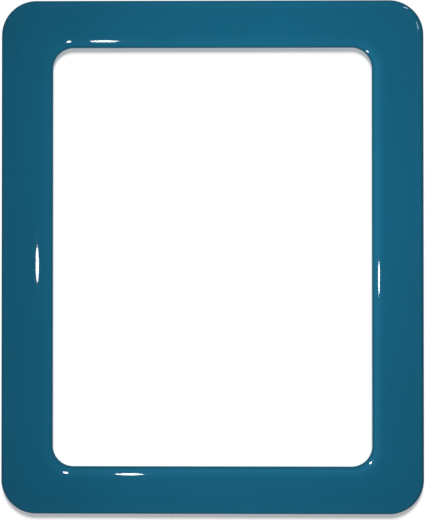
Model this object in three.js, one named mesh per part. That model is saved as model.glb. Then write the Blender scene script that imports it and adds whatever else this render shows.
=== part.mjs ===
// Magnetic display frame: a glossy moulded ring with a crowned front, held to a steel surface by four
// flexible magnet strips that are taped into the channel in its back. A sheet of letter paper lies
// between the steel and the lip round the window.
//
// Millimetres. The frame stands upright as on a steel wall: +X to the right, +Z up, front facing -Y.
// The origin is the middle of the whole frame.

import * as THREE from "three";
import { mergeVertices } from "three/addons/utils/BufferGeometryUtils.js";

// The sheet on show and how the frame covers it.
const sheetWidth = 215.9;
const sheetHeight = 279.4;
const sheetOverlap = 6.1;
const sheetClearance = 0.5;

// The ring's outline.
const sideBorder = 32.95;
const endBorder = 30.35;
const outerCornerRadius = 22.2;
const windowCornerRadius = 13.2;
const sharpestCorner = 1;

// The front: a crest that is level across its middle, and a crown that falls ever faster to an edge.
const crestSkin = 2.5;
const crestFlat = 1;
const crownPower = 2.6;
const crownEdgeSlope = THREE.MathUtils.degToRad(14.5);
const edgeRadius = 1.2;

// The back. Heights are measured from the steel surface towards the viewer.
const outerWall = 2.4;
const fenceWall = 1.6;
const lipHeight = 0.6;
const rimHeight = 0.2;

// The magnet strips and the tape that holds them.
const magnetThickness = 1.5;
const magnetSideGap = 0.75;
const magnetEndGap = 2;
const tapeThickness = 0.2;
const tapeMargin = 0.5;

// How finely the curves are divided.
const cornerSteps = 14;
const crownSteps = 10;
const edgeSteps = 5;

// Sizes that follow from those above.
const windowHalfX = sheetWidth / 2 - sheetOverlap;
const windowHalfZ = sheetHeight / 2 - sheetOverlap;
const outerHalfX = windowHalfX + sideBorder;
const outerHalfZ = windowHalfZ + endBorder;
const lipWidth = sheetOverlap + sheetClearance;
const channelHeight = magnetThickness + tapeThickness;
const crestHeight = channelHeight + crestSkin;
const steelPlaneY = crestHeight / 2;

// The rolled edge turns from the vertical side wall to the slope at which the crown begins. The crown
// carries on from there without a kink and is level at its reach, the same on every border.
const edgeTurn = Math.PI / 2 - crownEdgeSlope;
const edgeInset = edgeRadius * (1 - Math.cos(edgeTurn));
const crownReach = (Math.min(sideBorder, endBorder) - crestFlat) / 2;
const crownDrop = (Math.tan(crownEdgeSlope) * (crownReach - edgeInset)) / crownPower;
const edgeCentreHeight = crestHeight - crownDrop - edgeRadius * Math.sin(edgeTurn);

// A contour is a rounded rectangle in the frame's plane, at a distance from the outer edge or from
// the window's edge.
function contourFromOuter(inset) {
  return {
    halfX: outerHalfX - inset,
    halfZ: outerHalfZ - inset,
    radius: Math.max(outerCornerRadius - inset, sharpestCorner),
  };
}

function contourFromWindow(offset) {
  return {
    halfX: windowHalfX + offset,
    halfZ: windowHalfZ + offset,
    radius: windowCornerRadius + offset,
  };
}

// The points of a contour at one height, counter-clockwise seen from the front.
function ringPoints({ halfX, halfZ, radius }, height) {
  const points = [];
  const corners = [
    [1, 1],
    [-1, 1],
    [-1, -1],
    [1, -1],
  ];
  corners.forEach(([signX, signZ], corner) => {
    const centreX = signX * (halfX - radius);
    const centreZ = signZ * (halfZ - radius);
    for (let step = 0; step <= cornerSteps; step++) {
      const angle = ((corner + step / cornerSteps) * Math.PI) / 2;
      const x = centreX + radius * Math.cos(angle);
      const z = centreZ + radius * Math.sin(angle);
      points.push(new THREE.Vector3(x, steelPlaneY - height, z));
    }
  });
  return points;
}

// Half of the front, from the side wall up to the crest: the rolled edge, then the crown. contourAt
// gives the contour at a distance from that wall.
function frontRings(contourAt) {
  const rings = [];
  for (let step = 0; step < edgeSteps; step++) {
    const angle = (edgeTurn * step) / edgeSteps;
    const distance = edgeRadius * (1 - Math.cos(angle));
    const height = edgeCentreHeight + edgeRadius * Math.sin(angle);
    rings.push(ringPoints(contourAt(distance), height));
  }
  for (let step = 0; step <= crownSteps; step++) {
    const share = step / crownSteps;
    const distance = THREE.MathUtils.lerp(edgeInset, crownReach, share);
    const height = crestHeight - crownDrop * (1 - share) ** crownPower;
    rings.push(ringPoints(contourAt(distance), height));
  }
  return rings;
}

// The back, from the window outwards: the lip that covers the sheet's edge, the fence that keeps the
// sheet in place, the channel for the magnets and the outer rim.
function backRings() {
  const fenceOuter = contourFromWindow(lipWidth + fenceWall);
  const channelOuter = contourFromOuter(outerWall);
  return [
    ringPoints(contourFromWindow(0), lipHeight),
    ringPoints(contourFromWindow(lipWidth), lipHeight),
    ringPoints(contourFromWindow(lipWidth), rimHeight),
    ringPoints(fenceOuter, rimHeight),
    ringPoints(fenceOuter, channelHeight),
    ringPoints(channelOuter, channelHeight),
    ringPoints(channelOuter, rimHeight),
    ringPoints(contourFromOuter(0), rimHeight),
  ];
}

// Joins rings of equal length into one closed surface, the last ring back to the first.
function loftClosed(rings) {
  const perRing = rings[0].length;
  const positions = rings.flat().flatMap((point) => point.toArray());
  const indices = [];
  rings.forEach((_, ring) => {
    const next = (ring + 1) % rings.length;
    for (let place = 0; place < perRing; place++) {
      const beside = (place + 1) % perRing;
      const corner = ring * perRing + place;
      const along = ring * perRing + beside;
      const across = next * perRing + place;
      const opposite = next * perRing + beside;
      indices.push(corner, along, opposite, corner, opposite, across);
    }
  });
  const geometry = new THREE.BufferGeometry();
  geometry.setAttribute("position", new THREE.Float32BufferAttribute(positions, 3));
  geometry.setIndex(indices);
  const merged = mergeVertices(geometry);
  merged.computeVertexNormals();
  return merged;
}

function frameGeometry() {
  return loftClosed([
    ...frontRings(contourFromOuter),
    ...frontRings(contourFromWindow).reverse(),
    ...backRings(),
  ]);
}

const frameMaterial = new THREE.MeshStandardMaterial({ color: 0x165c7a, roughness: 0.12, metalness: 0 });
const magnetMaterial = new THREE.MeshStandardMaterial({ color: 0x2b2a29, roughness: 0.75, metalness: 0 });
const tapeMaterial = new THREE.MeshStandardMaterial({ color: 0xd9d6cc, roughness: 0.6, metalness: 0 });

function namedMesh(name, geometry, material) {
  const mesh = new THREE.Mesh(geometry, material);
  mesh.name = name;
  return mesh;
}

// The magnet strips lie along the middle of the channel, with a gap to both of its walls.
const channelOuterX = outerHalfX - outerWall;
const channelOuterZ = outerHalfZ - outerWall;
const channelInnerX = windowHalfX + lipWidth + fenceWall;
const channelInnerZ = windowHalfZ + lipWidth + fenceWall;
const sideStripWidth = channelOuterX - channelInnerX - 2 * magnetSideGap;
const endStripWidth = channelOuterZ - channelInnerZ - 2 * magnetSideGap;
const sideStripX = (channelOuterX + channelInnerX) / 2;
const endStripZ = (channelOuterZ + channelInnerZ) / 2;

// The upright strips stop where the corners begin to round, and the level strips run between them.
const sideStripLength = 2 * (outerHalfZ - outerCornerRadius);
const roundingLimit = outerHalfX - outerCornerRadius;
const betweenLimit = sideStripX - sideStripWidth / 2 - magnetEndGap;
const endStripLength = 2 * Math.min(betweenLimit, roundingLimit);

// A magnet strip and its tape, the magnet's back on the steel and the tape on the channel's floor.
function magnetWithTape(place, width, height, x, z) {
  const magnetSize = [width, magnetThickness, height];
  const tapeSize = [width - 2 * tapeMargin, tapeThickness, height - 2 * tapeMargin];
  const magnet = namedMesh(`magnet_strip_${place}`, new THREE.BoxGeometry(...magnetSize), magnetMaterial);
  const tape = namedMesh(`adhesive_tape_${place}`, new THREE.BoxGeometry(...tapeSize), tapeMaterial);
  magnet.position.y = -magnetThickness / 2;
  tape.position.y = -magnetThickness - tapeThickness / 2;
  const pair = new THREE.Group();
  pair.add(magnet, tape);
  pair.position.set(x, steelPlaneY, z);
  return pair;
}

const displayFrame = new THREE.Group();
displayFrame.add(
  namedMesh("front_frame", frameGeometry(), frameMaterial),
  magnetWithTape("top", endStripLength, endStripWidth, 0, endStripZ),
  magnetWithTape("bottom", endStripLength, endStripWidth, 0, -endStripZ),
  magnetWithTape("left", sideStripWidth, sideStripLength, -sideStripX, 0),
  magnetWithTape("right", sideStripWidth, sideStripLength, sideStripX, 0),
);

export default displayFrame;
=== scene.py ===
"""A magnetic display frame on a white wall: the glossy ring, its magnet strips and their tape."""

import math

import bpy
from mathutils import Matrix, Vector


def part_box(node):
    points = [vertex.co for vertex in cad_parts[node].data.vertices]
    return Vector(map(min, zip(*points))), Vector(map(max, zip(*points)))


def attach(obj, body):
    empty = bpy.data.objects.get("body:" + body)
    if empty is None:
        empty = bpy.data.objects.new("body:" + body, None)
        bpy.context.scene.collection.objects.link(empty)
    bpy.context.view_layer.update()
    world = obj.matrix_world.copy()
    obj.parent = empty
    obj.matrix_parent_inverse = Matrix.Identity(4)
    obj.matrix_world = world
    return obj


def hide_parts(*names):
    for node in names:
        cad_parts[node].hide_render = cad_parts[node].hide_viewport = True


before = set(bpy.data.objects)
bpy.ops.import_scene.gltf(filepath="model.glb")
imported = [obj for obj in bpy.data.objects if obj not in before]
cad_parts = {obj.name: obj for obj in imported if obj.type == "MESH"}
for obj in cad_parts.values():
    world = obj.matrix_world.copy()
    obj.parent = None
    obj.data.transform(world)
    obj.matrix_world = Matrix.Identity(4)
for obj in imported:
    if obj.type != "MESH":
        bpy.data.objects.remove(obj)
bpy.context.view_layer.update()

MM = 0.001

# Driving sizes of the moulded ring, in millimetres, as in the part.
SIDE_BORDER = 32.95
END_BORDER = 30.35
OUTER_CORNER_RADIUS = 22.2
WINDOW_CORNER_RADIUS = 13.2
SHARPEST_CORNER = 1.0
CREST_FLAT = 1.0
CROWN_POWER = 2.6
CROWN_EDGE_SLOPE = math.radians(14.5)
EDGE_RADIUS = 1.2
OUTER_WALL = 2.4
LIP_WIDTH = 6.6
FENCE_WALL = 1.6
LIP_HEIGHT = 0.6
RIM_HEIGHT = 0.2
BACK_EDGE_RADIUS = 0.18
MAGNET_EDGE_RADIUS = 0.25

# How finely the curves are divided.
CORNER_STEPS = 56
CROWN_STEPS = 40
EDGE_STEPS = 12
BACK_EDGE_STEPS = 3
MAGNET_EDGE_STEPS = 3
SHARP_ANGLE = math.radians(35)

# Sizes read from the frame, in millimetres.
RING_LOW, RING_HIGH = (Vector(corner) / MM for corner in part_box("front_frame"))
_, MAGNET_HIGH = (Vector(corner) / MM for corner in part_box("magnet_strip_top"))
TAPE_LOW, _ = (Vector(corner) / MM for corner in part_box("adhesive_tape_top"))
OUTER_HALF_X = RING_HIGH.x
OUTER_HALF_Z = RING_HIGH.z
WINDOW_HALF_X = OUTER_HALF_X - SIDE_BORDER
WINDOW_HALF_Z = OUTER_HALF_Z - END_BORDER
STEEL_Y = MAGNET_HIGH.y
CREST_HEIGHT = STEEL_Y - RING_LOW.y
CHANNEL_HEIGHT = STEEL_Y - TAPE_LOW.y

# The front's section, worked out as in the part.
EDGE_TURN = math.pi / 2 - CROWN_EDGE_SLOPE
EDGE_INSET = EDGE_RADIUS * (1 - math.cos(EDGE_TURN))
CROWN_REACH = (min(SIDE_BORDER, END_BORDER) - CREST_FLAT) / 2
CROWN_DROP = math.tan(CROWN_EDGE_SLOPE) * (CROWN_REACH - EDGE_INSET) / CROWN_POWER
EDGE_CENTRE_HEIGHT = CREST_HEIGHT - CROWN_DROP - EDGE_RADIUS * math.sin(EDGE_TURN)

# Painted light: a paler band along the front's edges, where their slopes catch the light. Where it
# begins, where it is palest and how far it fades, in millimetres. Then its strength along the
# window, which is greatest at the right and the bottom, and along the outside.
BAND_START = 0.5
BAND_PEAK = 2.2
BAND_FADE = 3.4
WINDOW_BAND_MEAN = 0.40
WINDOW_BAND_RIGHT = 0.28
WINDOW_BAND_UP = -0.16
OUTER_BAND = 0.28

# Painted shade: a darker rim at the very edge, where it turns away from the light. How far it
# fades, in millimetres, on the outside, which is most at the right, and along the window, where it
# is most at the left and the bottom.
OUTER_RIM_FADE = 0.4
OUTER_RIM_SIDES = 0.9
OUTER_RIM_RIGHT = 0.5
WINDOW_RIM_FADE = 1.0
WINDOW_RIM_RIGHT = -0.3
WINDOW_RIM_UP = -0.17

# The range that the values of a noise mostly lie in.
NOISE_LOW = 0.3
NOISE_HIGH = 0.7

# Colours and surface of the plastic, with heights in metres and scales per metre.
TEAL = (0.0050, 0.117, 0.208, 1.0)
TEAL_DEEP = (0.0045, 0.110, 0.195, 1.0)
# Painted light: the paler colour of the band along the edges.
TEAL_PAINTED_LIGHT = (0.0140, 0.160, 0.280, 1.0)
# Painted shade: the darker colour of the rim at the very edge.
TEAL_PAINTED_SHADE = (0.0060, 0.084, 0.132, 1.0)
PLASTIC_IOR = 1.5
PLASTIC_GLOSS = (0.018, 0.030)
CLOUD_SCALE = 14.0
CLOUD_DETAIL = 3.0
HAZE_SCALE = 60.0
HAZE_DETAIL = 4.0
SPECK_SCALE = 620.0
SPECK_DETAIL = 1.0
SPECK_RANGE = (0.56, 0.72)
SPECK_ROUGHNESS = 0.06
RIPPLE_SCALE = 45.0
RIPPLE_DETAIL = 1.0
RIPPLE_HEIGHT = 8e-6
PEEL_SCALE = 520.0
PEEL_DETAIL = 2.0
PEEL_HEIGHT = 0.3e-6

# How the moulding departs from its true shape, which sets where its highlights fall: a twist, a bow
# that turns in the middle, a low swell across both level borders, which lies askew, and a shallow
# sink mark in the left border at an (x, z) place with an (x, z) reach. The unit is the metre.
TWIST_PER_METRE = 0.056
BOW_SLOPE = 0.0204
BOW_REACH = 0.041
SWELL_X = -0.0612
SWELL_SKEW = -0.0597
SWELL_REACH = 0.016
SWELL_HEIGHT = 1.28e-4
SINK_PLACE = (-0.1110, -0.0050)
SINK_REACH = (0.004, 0.028)
SINK_DEPTH = 6.4e-5

# Colours and surface of the magnet strips and the tape.
MAGNET_DARK = (0.018, 0.017, 0.0165, 1.0)
MAGNET_PALE = (0.034, 0.031, 0.029, 1.0)
MAGNET_SPECK = (0.085, 0.080, 0.075, 1.0)
MAGNET_ROUGHNESS = (0.5, 0.68)
MAGNET_IOR = 1.5
GRAIN_SCALE = 2600.0
GRAIN_DETAIL = 3.0
GRAIN_HEIGHT = 1.6e-5
GRAIN_SPECK_RANGE = (0.62, 0.78)
GRAIN_SPECK_SHARE = 0.5
BLOTCH_SCALE = 90.0
BLOTCH_DETAIL = 4.0
MAGNET_NOISE_ROUGHNESS = 0.6
CALENDER_SCALE = (900.0, 900.0, 30.0)
CALENDER_HEIGHT = 1.2e-5
TAPE_DARK = (0.55, 0.52, 0.44, 1.0)
TAPE_PALE = (0.74, 0.72, 0.66, 1.0)
TAPE_ROUGHNESS = 0.6
FIBRE_SCALE = 1500.0
FIBRE_DETAIL = 4.0
FIBRE_NOISE_ROUGHNESS = 0.7
FIBRE_HEIGHT = 1e-5

# The camera: almost straight in front, a little low and to the right, with the whole frame in view.
# The distance is in metres, and the sensor's height in millimetres.
CAMERA_DISTANCE = 1.0
CAMERA_AZIMUTH = math.radians(0.84)
CAMERA_ELEVATION = math.radians(-0.65)
IMAGE_WIDTH = 426
IMAGE_HEIGHT = 520
PIXELS_PER_MM = 1.5665
FRAME_CENTRE_PIXEL = (212.25, 256.8)
SENSOR_HEIGHT = 24.0

# The wall, its own glow, which keeps the frame's shadow on it grey, and the sun from above that
# casts the shadow. The gap behind the magnets, the wall's size and the distance at which the suns
# stand are in metres, and the lean is a slope.
WALL_WHITE = (0.98, 0.98, 0.98, 1.0)
WALL_GLOW = 0.345
WALL_GAP = 0.0006
WALL_LEAN = 0.0017
WALL_SIZE = 3.0
SUN_DISTANCE = 2.0
SUN_TILT = math.radians(48.0)
SUN_WIDTH = math.radians(22.0)
SUN_STRENGTH = 2.75
WORLD_STRENGTH = 0.10

# The wide sun that lights the frame's back and its steep edges from behind, through the wall.
REAR_DIRECTION = (0.1, 1, 0.25)
REAR_STRENGTH = 3.1
REAR_WIDTH = math.radians(160.0)

# The soft lamps that light the frame, which gloss doesn't show: x, z and distance from the frame in
# millimetres, and the light they give where they are nearest.
SOFT_LAMP_SIZE = 120.0
SOFT_LAMPS = (
    ("soft_upper", 32.0, 122.0, 306.0, 2.55),
    ("soft_lower", 14.0, -146.0, 302.0, 1.87),
)

# The small lamps whose mirror images are the highlights, one to the left of the camera and two far
# off to its upper right: x, z, width and height in millimetres in the camera's plane, and radiance.
SMALL_LAMPS = (
    ("lamp_left", -135.0, -13.6, 50.0, 62.0, 34.0),
    ("glint_upper", 560.0, 880.0, 120.0, 40.0, 9.0),
    ("glint_lower", 695.0, 520.0, 26.0, 150.0, 11.0),
)


def link(obj):
    bpy.context.scene.collection.objects.link(obj)
    return obj


# Contours of the ring, in millimetres: half sizes and corner radius.
def contour_from_outer(inset):
    radius = max(OUTER_CORNER_RADIUS - inset, SHARPEST_CORNER)
    return OUTER_HALF_X - inset, OUTER_HALF_Z - inset, radius


def contour_from_window(offset):
    return WINDOW_HALF_X + offset, WINDOW_HALF_Z + offset, WINDOW_CORNER_RADIUS + offset


def contour_angles():
    """(corner signs, angle) of each point of a contour, counter-clockwise seen from the front."""
    for corner, signs in enumerate(((1, 1), (-1, 1), (-1, -1), (1, -1))):
        for step in range(CORNER_STEPS + 1):
            yield signs, (corner + step / CORNER_STEPS) * math.pi / 2


def ring_points(contour, height):
    """The points of a rounded rectangle at a height over the steel, in metres."""
    half_x, half_z, radius = contour
    points = []
    for (sign_x, sign_z), angle in contour_angles():
        x = sign_x * (half_x - radius) + radius * math.cos(angle)
        z = sign_z * (half_z - radius) + radius * math.sin(angle)
        points.append((x * MM, (STEEL_Y - height) * MM, z * MM))
    return points


def front_section():
    """(distance from the side wall, height) of half of the front, from the wall up to the crest."""
    section = []
    for step in range(EDGE_STEPS):
        angle = EDGE_TURN * step / EDGE_STEPS
        distance = EDGE_RADIUS * (1 - math.cos(angle))
        section.append((distance, EDGE_CENTRE_HEIGHT + EDGE_RADIUS * math.sin(angle)))
    for step in range(CROWN_STEPS + 1):
        share = step / CROWN_STEPS
        distance = EDGE_INSET + (CROWN_REACH - EDGE_INSET) * share
        section.append((distance, CREST_HEIGHT - CROWN_DROP * (1 - share) ** CROWN_POWER))
    return section


def eased_corner(before, corner, after):
    """A small arc in place of a corner of the back's section, as (distance, height) points."""
    into = (Vector(before) - Vector(corner)).normalized() * BACK_EDGE_RADIUS
    out = (Vector(after) - Vector(corner)).normalized() * BACK_EDGE_RADIUS
    centre = Vector(corner) + into + out
    points = []
    for step in range(BACK_EDGE_STEPS + 1):
        angle = math.pi / 2 * step / BACK_EDGE_STEPS
        points.append(tuple(centre - out * math.cos(angle) - into * math.sin(angle)))
    return points


def back_sections():
    """(contour, height) of the back, from the window out: lip, fence, magnet channel, outer rim."""
    fence = LIP_WIDTH + FENCE_WALL
    wall = (0, EDGE_CENTRE_HEIGHT)
    lip_edge, lip_root = (0, LIP_HEIGHT), (LIP_WIDTH, LIP_HEIGHT)
    fence_inner, fence_outer = (LIP_WIDTH, RIM_HEIGHT), (fence, RIM_HEIGHT)
    channel_inner, channel_outer = (fence, CHANNEL_HEIGHT), (OUTER_WALL, CHANNEL_HEIGHT)
    rim_inner, rim_outer = (OUTER_WALL, RIM_HEIGHT), (0, RIM_HEIGHT)
    window_side = [
        *eased_corner(wall, lip_edge, lip_root),
        lip_root,
        *eased_corner(lip_root, fence_inner, fence_outer),
        *eased_corner(fence_inner, fence_outer, channel_inner),
        channel_inner,
    ]
    outer_side = [
        channel_outer,
        *eased_corner(channel_outer, rim_inner, rim_outer),
        *eased_corner(rim_inner, rim_outer, wall),
    ]
    sections = [(contour_from_window(distance), height) for distance, height in window_side]
    return sections + [(contour_from_outer(distance), height) for distance, height in outer_side]


def lofted_mesh(name, rings):
    """One closed surface through rings of equal length, the last joined back to the first."""
    count = len(rings[0])
    vertices = [point for ring in rings for point in ring]
    faces = []
    for ring in range(len(rings)):
        here, after = ring * count, (ring + 1) % len(rings) * count
        for place in range(count):
            beside = (place + 1) % count
            faces.append((here + place, here + beside, after + beside, after + place))
    mesh = bpy.data.meshes.new(name)
    mesh.from_pydata(vertices, [], faces)
    mesh.validate()
    mesh.shade_smooth()
    mesh.set_sharp_from_angle(angle=SHARP_ANGLE)
    return mesh


def band_by_distance(distance):
    """Painted light at a distance from an edge: a band that rises smoothly and fades."""
    rise = min(max((distance - BAND_START) / (BAND_PEAK - BAND_START), 0), 1)
    fade = max(distance - BAND_PEAK, 0) / BAND_FADE
    return rise * rise * (3 - 2 * rise) * math.exp(-fade * fade)


def outer_painted_light_shade(distance, angle):
    """(painted light, painted shade) of the plastic at a distance from the outer edge."""
    across = math.cos(angle)
    fade = OUTER_RIM_FADE + OUTER_RIM_SIDES * across * across + OUTER_RIM_RIGHT * across
    return band_by_distance(distance) * OUTER_BAND, math.exp(-((distance / fade) ** 2))


def window_painted_light_shade(distance, angle):
    """(painted light, painted shade) of the plastic at a distance from the window's edge."""
    across, up = math.cos(angle), math.sin(angle)
    strength = WINDOW_BAND_MEAN + WINDOW_BAND_RIGHT * across + WINDOW_BAND_UP * up
    fade = WINDOW_RIM_FADE + WINDOW_RIM_RIGHT * across + WINDOW_RIM_UP * up
    return band_by_distance(distance) * strength, math.exp(-((distance / fade) ** 2))


def make_ring(material):
    """The moulded ring. Two attributes on it carry painted light and painted shade at its edges."""
    sections = []
    front = front_section()
    for distance, height in front:
        sections.append((contour_from_outer(distance), height, distance, outer_painted_light_shade))
    for distance, height in reversed(front):
        sections.append((contour_from_window(distance), height, distance, window_painted_light_shade))
    for contour, height in back_sections():
        sections.append((contour, height, CROWN_REACH, window_painted_light_shade))
    rings = [ring_points(contour, height) for contour, height, _, _ in sections]
    mesh = lofted_mesh("ring_moulding", rings)
    angles = [angle for _, angle in contour_angles()]
    # Painted light and painted shade at each point, from its distance to the nearest edge.
    tints = [tint(distance, angle) for _, _, distance, tint in sections for angle in angles]
    for name, values in zip(("painted_edge_light", "painted_edge_shade"), zip(*tints)):
        mesh.attributes.new(name, "FLOAT", "POINT").data.foreach_set("value", values)
    mesh.materials.append(material)
    ring = link(bpy.data.objects.new("ring_moulding", mesh))
    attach(ring, "root")
    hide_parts("front_frame")
    return ring


# Materials
class Nodes:
    """A material's node tree, with short calls to add nodes and links."""

    def __init__(self, name):
        self.material = bpy.data.materials.new(name)
        self.material.use_nodes = True
        self.tree = self.material.node_tree
        self.shader = self.tree.nodes["Principled BSDF"]

    def add(self, kind, inputs=None, **settings):
        node = self.tree.nodes.new(kind)
        for key, value in settings.items():
            setattr(node, key, value)
        for key, value in (inputs or {}).items():
            if isinstance(value, bpy.types.NodeSocket):
                self.tree.links.new(value, node.inputs[key])
            else:
                node.inputs[key].default_value = value
        return node

    def math(self, operation, first, second=0.0):
        return self.add("ShaderNodeMath", {0: first, 1: second}, operation=operation).outputs[0]

    def bell(self, distance):
        """1 at no distance, falling off as a normal curve whose deviation is 1."""
        square = self.math("MULTIPLY", distance, distance)
        return self.math("EXPONENT", self.math("MULTIPLY", square, -0.5))

    def object_coordinates(self):
        return self.add("ShaderNodeTexCoord").outputs["Object"]

    def noise(self, vector, scale, detail=2.0, roughness=0.5):
        values = {"Vector": vector, "Scale": scale, "Detail": detail, "Roughness": roughness}
        return self.add("ShaderNodeTexNoise", values).outputs["Fac"]

    def stretched(self, vector, scale):
        return self.add("ShaderNodeMapping", {"Vector": vector, "Scale": scale}).outputs["Vector"]

    def mix(self, factor, first, second):
        """Mixes two colours. The mix node's colour sockets are inputs 6 and 7 and output 2."""
        node = self.add("ShaderNodeMix", {0: factor, 6: first, 7: second}, data_type="RGBA")
        return node.outputs[2]

    def ramp(self, factor, low, high):
        """Maps low[0] to low[1] and high[0] to high[1]."""
        source = {"Value": factor, "From Min": low[0], "From Max": high[0]}
        result = {"To Min": low[1], "To Max": high[1]}
        return self.add("ShaderNodeMapRange", source | result).outputs[0]

    def spread(self, noise, first, second):
        """Spreads a noise from a first to a second value."""
        return self.ramp(noise, (NOISE_LOW, first), (NOISE_HIGH, second))

    def bump(self, *heights):
        """The normal of a surface raised by the sum of (factor, metres) pairs."""
        total = 0.0
        for factor, metres in heights:
            total = self.math("ADD", total, self.math("MULTIPLY", factor, metres))
        values = {"Height": total, "Strength": 1.0, "Distance": 1.0}
        return self.add("ShaderNodeBump", values).outputs["Normal"]

    def to_shader(self, **inputs):
        for key, value in inputs.items():
            socket = self.shader.inputs[key.replace("_", " ")]
            if isinstance(value, bpy.types.NodeSocket):
                self.tree.links.new(value, socket)
            else:
                socket.default_value = value


def frame_plastic():
    """Glossy teal plastic: faint pigment clouds, painted light in a paler band and painted shade in
    a darker rim at the edges, soft specks in the gloss, the moulding's departures from its true
    shape, a flow ripple and peel."""
    n = Nodes("frame_plastic")
    place = n.object_coordinates()
    axes = n.add("ShaderNodeSeparateXYZ", {0: place}).outputs
    clouds = n.noise(place, CLOUD_SCALE, CLOUD_DETAIL)
    base = n.mix(n.spread(clouds, 0.0, 1.0), TEAL_DEEP, TEAL)
    # Painted light: the plastic is paler in a band along its edges.
    band = n.add("ShaderNodeAttribute", attribute_name="painted_edge_light").outputs["Fac"]
    base = n.mix(band, base, TEAL_PAINTED_LIGHT)
    # Painted shade: the plastic is darker in a rim at the very edge.
    rim = n.add("ShaderNodeAttribute", attribute_name="painted_edge_shade").outputs["Fac"]
    base = n.mix(rim, base, TEAL_PAINTED_SHADE)
    haze = n.noise(place, HAZE_SCALE, HAZE_DETAIL)
    specks = n.noise(place, SPECK_SCALE, SPECK_DETAIL)
    roughness = n.math(
        "ADD",
        n.spread(haze, *PLASTIC_GLOSS),
        n.ramp(specks, (SPECK_RANGE[0], 0.0), (SPECK_RANGE[1], SPECK_ROUGHNESS)),
    )
    twist = n.math("MULTIPLY", axes["X"], axes["Z"])
    bow = n.math("LOGARITHM", n.math("COSH", n.math("DIVIDE", axes["Z"], BOW_REACH)), math.e)
    middle = n.math("ADD", n.math("MULTIPLY", axes["Z"], SWELL_SKEW), SWELL_X)
    swell = n.bell(n.math("DIVIDE", n.math("SUBTRACT", axes["X"], middle), SWELL_REACH))
    across = n.math("DIVIDE", n.math("SUBTRACT", axes["X"], SINK_PLACE[0]), SINK_REACH[0])
    along = n.math("DIVIDE", n.math("SUBTRACT", axes["Z"], SINK_PLACE[1]), SINK_REACH[1])
    sink = n.math("MULTIPLY", n.bell(across), n.bell(along))
    normal = n.bump(
        (twist, -TWIST_PER_METRE),
        (swell, SWELL_HEIGHT),
        (sink, -SINK_DEPTH),
        (bow, -BOW_SLOPE * BOW_REACH),
        (n.noise(place, RIPPLE_SCALE, RIPPLE_DETAIL), RIPPLE_HEIGHT),
        (n.noise(place, PEEL_SCALE, PEEL_DETAIL), PEEL_HEIGHT),
    )
    n.to_shader(Base_Color=base, Roughness=roughness, Normal=normal, IOR=PLASTIC_IOR)
    return n.material


def flexible_magnet():
    """Ferrite-filled rubber: near black, slightly brown, matt, with calender lines and a grain."""
    n = Nodes("flexible_magnet")
    place = n.object_coordinates()
    grain = n.noise(place, GRAIN_SCALE, GRAIN_DETAIL, MAGNET_NOISE_ROUGHNESS)
    blotch = n.noise(place, BLOTCH_SCALE, BLOTCH_DETAIL, MAGNET_NOISE_ROUGHNESS)
    base = n.mix(blotch, MAGNET_DARK, MAGNET_PALE)
    low, high = GRAIN_SPECK_RANGE
    base = n.mix(n.ramp(grain, (low, 0.0), (high, GRAIN_SPECK_SHARE)), base, MAGNET_SPECK)
    lines = n.noise(n.stretched(place, CALENDER_SCALE), 1.0)
    roughness = n.spread(lines, *MAGNET_ROUGHNESS)
    normal = n.bump((grain, GRAIN_HEIGHT), (lines, CALENDER_HEIGHT))
    n.to_shader(Base_Color=base, Roughness=roughness, Normal=normal, IOR=MAGNET_IOR)
    return n.material


def adhesive_tape():
    """White double-sided tape, seen only at its edges: slightly yellow, with a fibrous grain."""
    n = Nodes("adhesive_tape")
    fibres = n.noise(n.object_coordinates(), FIBRE_SCALE, FIBRE_DETAIL, FIBRE_NOISE_ROUGHNESS)
    base = n.mix(fibres, TAPE_DARK, TAPE_PALE)
    normal = n.bump((fibres, FIBRE_HEIGHT))
    n.to_shader(Base_Color=base, Roughness=TAPE_ROUGHNESS, Normal=normal)
    return n.material


def make_magnet(place, material):
    """A magnet strip where its solid lies, with slightly rounded slit edges."""
    low, high = (Vector(corner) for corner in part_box(f"magnet_strip_{place}"))
    mesh = bpy.data.meshes.new(f"magnet_{place}")
    ends = ((low.x, high.x), (low.y, high.y), (low.z, high.z))
    corners = [(x, y, z) for x in ends[0] for y in ends[1] for z in ends[2]]
    sides = [(0, 1, 3, 2), (4, 6, 7, 5), (0, 4, 5, 1), (2, 3, 7, 6), (0, 2, 6, 4), (1, 5, 7, 3)]
    mesh.from_pydata(corners, [], sides)
    mesh.materials.append(material)
    mesh.shade_smooth()
    magnet = link(bpy.data.objects.new(f"magnet_{place}", mesh))
    bevel = magnet.modifiers.new("slit_edges", "BEVEL")
    bevel.width = MAGNET_EDGE_RADIUS * MM
    bevel.segments = MAGNET_EDGE_STEPS
    bevel.harden_normals = True
    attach(magnet, "root")
    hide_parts(f"magnet_strip_{place}")
    return magnet


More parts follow.
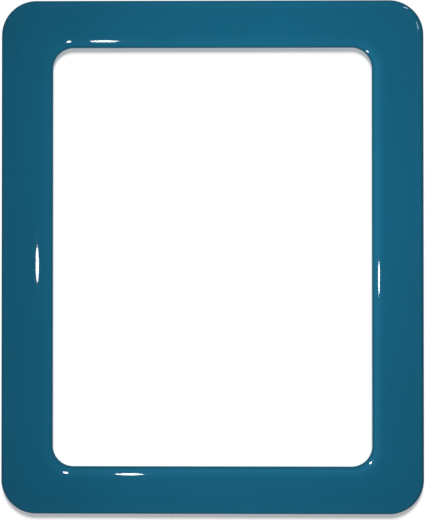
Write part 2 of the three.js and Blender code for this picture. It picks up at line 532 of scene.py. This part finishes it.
# The stage
def make_wall():
    """A white wall just behind the frame. It shows only from its front, to let the back be seen."""
    half = WALL_SIZE / 2
    corners = ((-half, -half), (half, -half), (half, half), (-half, half))
    points = [(x, STEEL_Y * MM + WALL_GAP - WALL_LEAN * z, z) for x, z in corners]
    mesh = bpy.data.meshes.new("wall")
    mesh.from_pydata(points, [], [(0, 1, 2, 3)])
    n = Nodes("wall")
    n.tree.nodes.remove(n.shader)
    rays = n.add("ShaderNodeLightPath").outputs
    mirrored = n.math("MAXIMUM", rays["Is Glossy Ray"], rays["Is Transmission Ray"])
    seen = n.math("MAXIMUM", rays["Is Camera Ray"], mirrored)
    behind = n.add("ShaderNodeNewGeometry").outputs["Backfacing"]
    shown = n.math("MULTIPLY", seen, n.math("SUBTRACT", 1.0, behind))
    paint = n.add("ShaderNodeBsdfDiffuse", {"Color": WALL_WHITE}).outputs[0]
    glow = n.add("ShaderNodeEmission", {"Strength": WALL_GLOW}).outputs[0]
    bright = n.add("ShaderNodeAddShader", {0: paint, 1: glow}).outputs[0]
    clear = n.add("ShaderNodeBsdfTransparent").outputs[0]
    mixed = n.add("ShaderNodeMixShader", {0: shown, 1: clear, 2: bright})
    n.tree.links.new(mixed.outputs[0], n.tree.nodes["Material Output"].inputs["Surface"])
    mesh.materials.append(n.material)
    wall = link(bpy.data.objects.new("wall", mesh))
    return wall


def make_world():
    """A plain white world: dim light on what is in it, and white to the camera."""
    world = bpy.data.worlds.new("room")
    bpy.context.scene.world = world
    world.use_nodes = True
    nodes, links = world.node_tree.nodes, world.node_tree.links
    background = nodes["Background"]
    background.inputs["Color"].default_value = (1.0, 1.0, 1.0, 1.0)
    rays = nodes.new("ShaderNodeLightPath")
    strength = nodes.new("ShaderNodeMapRange")
    strength.inputs["To Min"].default_value = WORLD_STRENGTH
    strength.inputs["To Max"].default_value = 1.0
    links.new(rays.outputs["Is Camera Ray"], strength.inputs["Value"])
    links.new(strength.outputs[0], background.inputs["Strength"])


def light_only(lamp, objects):
    """Makes a lamp light these objects alone."""
    lit = bpy.data.collections.new(f"lit_by_{lamp.name}")
    for obj in objects:
        lit.objects.link(obj)
    lamp.light_linking.receiver_collection = lit


def make_sun(name, direction, strength, width, lit):
    """A distant lamp that shines from direction on the objects in lit. Gloss doesn't show it."""
    light = bpy.data.lights.new(name, "SUN")
    light.energy = strength
    light.angle = width
    lamp = link(bpy.data.objects.new(name, light))
    towards = Vector(direction).normalized()
    lamp.location = towards * SUN_DISTANCE
    lamp.rotation_euler = (-towards).to_track_quat("-Z", "Y").to_euler()
    lamp.visible_glossy = False
    light_only(lamp, lit)


def make_soft_lamp(name, x, z, distance, light_given, lit):
    """A soft lamp square in front of the frame, which gives light_given where it is nearest."""
    light = bpy.data.lights.new(name, "AREA")
    light.size = SOFT_LAMP_SIZE * MM
    light.energy = light_given * math.pi * (distance * MM) ** 2
    lamp = link(bpy.data.objects.new(name, light))
    lamp.location = (x * MM, -distance * MM, z * MM)
    lamp.rotation_euler = Vector((0, 1, 0)).to_track_quat("-Z", "Y").to_euler()
    lamp.visible_glossy = False
    lamp.visible_camera = False
    light_only(lamp, lit)


def make_small_lamp(name, x, z, width, height, radiance, lit):
    """A small lamp beside the camera, whose mirror image in the objects in lit is a highlight."""
    light = bpy.data.lights.new(name, "AREA")
    light.shape = "ELLIPSE"
    light.size = width * MM
    light.size_y = height * MM
    light.energy = radiance * math.pi * (math.pi / 4 * light.size * light.size_y)
    lamp = link(bpy.data.objects.new(name, light))
    lamp.location = (x * MM, -CAMERA_DISTANCE, z * MM)
    lamp.rotation_euler = (-lamp.location).to_track_quat("-Z", "Y").to_euler()
    light_only(lamp, lit)


def make_lights(pieces, wall):
    """The lamps: one sun for the wall, and all others for the frame's pieces."""
    make_sun("sun", (0, -math.cos(SUN_TILT), math.sin(SUN_TILT)), SUN_STRENGTH, SUN_WIDTH, [wall])
    make_sun("rear", REAR_DIRECTION, REAR_STRENGTH, REAR_WIDTH, pieces)
    for lamp in SOFT_LAMPS:
        make_soft_lamp(*lamp, pieces)
    for lamp in SMALL_LAMPS:
        make_small_lamp(*lamp, pieces)


def make_camera():
    """Looks at the frame's middle, moved so that the middle falls on its pixel in the image."""
    data = bpy.data.cameras.new("camera")
    data.sensor_fit = "VERTICAL"
    data.sensor_height = SENSOR_HEIGHT
    view_height = IMAGE_HEIGHT / PIXELS_PER_MM * MM
    data.lens = SENSOR_HEIGHT * CAMERA_DISTANCE / view_height
    camera = link(bpy.data.objects.new("camera", data))
    away = Vector((
        math.sin(CAMERA_AZIMUTH) * math.cos(CAMERA_ELEVATION),
        -math.cos(CAMERA_AZIMUTH) * math.cos(CAMERA_ELEVATION),
        math.sin(CAMERA_ELEVATION),
    ))
    turn = (-away).to_track_quat("-Z", "Y")
    right = (IMAGE_WIDTH / 2 - FRAME_CENTRE_PIXEL[0]) / PIXELS_PER_MM * MM
    down = (IMAGE_HEIGHT / 2 - FRAME_CENTRE_PIXEL[1]) / PIXELS_PER_MM * MM
    camera.location = away * CAMERA_DISTANCE + turn @ Vector((right, -down, 0))
    camera.rotation_euler = turn.to_euler()
    bpy.context.scene.camera = camera
    bpy.context.scene.view_settings.view_transform = "Standard"


make_camera()
make_world()
pieces = [make_ring(frame_plastic())]
magnet_material = flexible_magnet()
tape_material = adhesive_tape()
for side in ("top", "bottom", "left", "right"):
    pieces.append(make_magnet(side, magnet_material))
    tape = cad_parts[f"adhesive_tape_{side}"]
    tape.data.materials.clear()
    tape.data.materials.append(tape_material)
    pieces.append(tape)
make_lights(pieces, make_wall())

bpy.context.view_layer.update()
